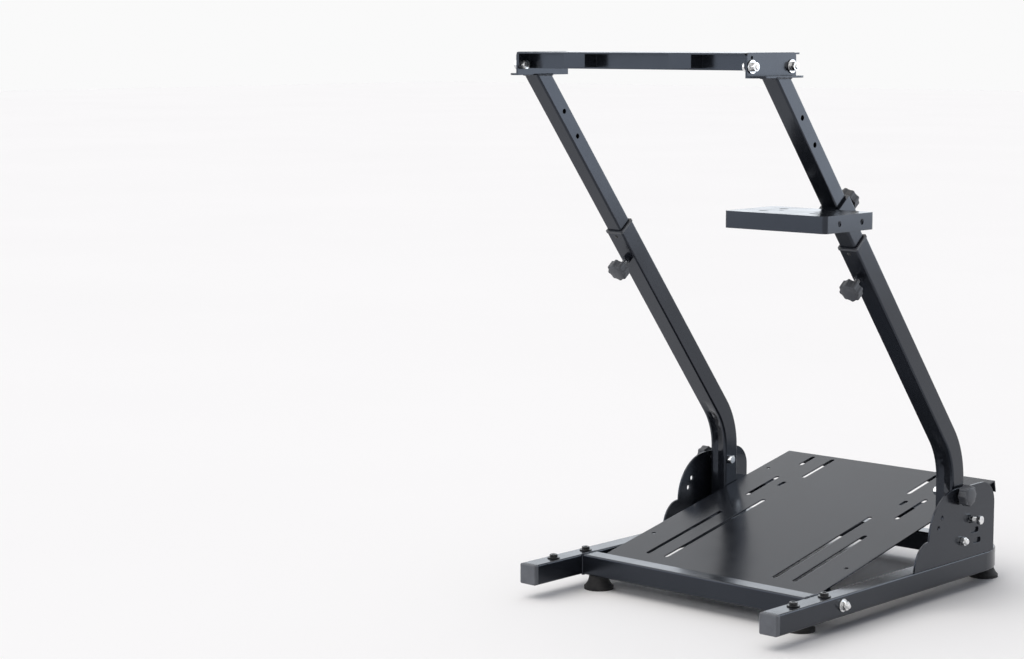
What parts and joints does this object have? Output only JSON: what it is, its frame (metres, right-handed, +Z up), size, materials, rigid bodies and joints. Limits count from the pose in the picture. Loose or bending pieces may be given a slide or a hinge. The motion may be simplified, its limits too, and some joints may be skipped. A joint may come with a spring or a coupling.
{
  "type": "folding racing wheel stand",
  "caption": "Folding stand of black square tube with a wheel plate on rising uprights, a sloped slotted pedal plate and a side tray for a gear shifter.",
  "frame": {"origin": "on the floor below the middle of the whole stand's box", "axes": "+X to the driver's right, +Y away from the driver, +Z up"},
  "size_m": [0.5908, 0.7171, 0.8695],
  "materials": {
    "powder_coat": "satin black powder coat on steel",
    "zinc": "bright zinc plate",
    "blackened_bolts": "black oxide steel",
    "black_plastic": "moulded black nylon",
    "rubber": "black moulded rubber"
  },
  "bodies": {
    "base": {"base_frame": "powder_coat", "front_crossbar": "powder_coat", "left_end_cap": "black_plastic", "right_end_cap": "black_plastic", "front_left_foot": "rubber", "front_right_foot": "rubber", "rear_left_foot": "rubber", "rear_right_foot": "rubber", "frame_bolts": "blackened_bolts", "left_bracket": "powder_coat", "right_bracket": "powder_coat", "pedal_plate": "powder_coat", "pedal_support_bar": "powder_coat", "pedal_bolts": "zinc", "support_bolts": "zinc", "pivot_bolts": "zinc"},
    "uprights": {"left_lower_upright": "powder_coat", "right_lower_upright": "powder_coat", "left_sleeve_bush": "black_plastic", "right_sleeve_bush": "black_plastic", "lock_nuts": "zinc", "height_nuts": "powder_coat"},
    "deck": {"left_upper_tube": "powder_coat", "right_upper_tube": "powder_coat", "left_top_bracket": "powder_coat", "right_top_bracket": "powder_coat", "wheel_plate": "powder_coat", "wheel_plate_bolts": "zinc"},
    "shifter": {"shifter_tray": "powder_coat", "shifter_clamp": "powder_coat", "tray_bolts": "zinc"},
    "left_fold_grip": {"left_fold_knob": "black_plastic"},
    "right_fold_grip": {"right_fold_knob": "black_plastic"},
    "left_height_grip": {"left_height_knob": "black_plastic"},
    "right_height_grip": {"right_height_knob": "black_plastic"},
    "shifter_grip": {"shifter_knob": "black_plastic"}
  },
  "joints": [
    {"name": "fold", "type": "hinge", "parent": "base", "child": "uprights", "pos_m": [-0.0231, 0.18765, 0.086], "axis": [1, 0, 0], "range_deg": [0, 51]},
    {"name": "height", "type": "slide", "parent": "uprights", "child": "deck", "axis": [0, -0.6225, 0.7826], "range_m": [-0.19, 0.03]},
    {"name": "shifter_slide", "type": "slide", "parent": "deck", "child": "shifter", "axis": [0, -0.6225, 0.7826], "range_m": [-0.03, 0.19]},
    {"name": "left_fold_knob_turn", "type": "hinge", "parent": "base", "child": "left_fold_grip", "pos_m": [-0.2771, 0.18228, 0.16281], "axis": [-1, 0, 0], "continuous": true},
    {"name": "right_fold_knob_turn", "type": "hinge", "parent": "base", "child": "right_fold_grip", "pos_m": [0.2309, 0.18228, 0.16281], "axis": [1, 0, 0], "continuous": true},
    {"name": "left_height_knob_turn", "type": "hinge", "parent": "uprights", "child": "left_height_grip", "pos_m": [-0.2516, -0.07676, 0.5314], "axis": [0, -0.7826, -0.6225], "continuous": true},
    {"name": "right_height_knob_turn", "type": "hinge", "parent": "uprights", "child": "right_height_grip", "pos_m": [0.2054, -0.07676, 0.5314], "axis": [0, -0.7826, -0.6225], "continuous": true},
    {"name": "shifter_knob_turn", "type": "hinge", "parent": "shifter", "child": "shifter_grip", "pos_m": [0.2054, -0.12174, 0.64385], "axis": [0, 0.7826, 0.6225], "continuous": true}
  ],
  "couplings": [
    {"joint": "shifter_slide", "follows": "height", "ratio": -1}
  ]
}
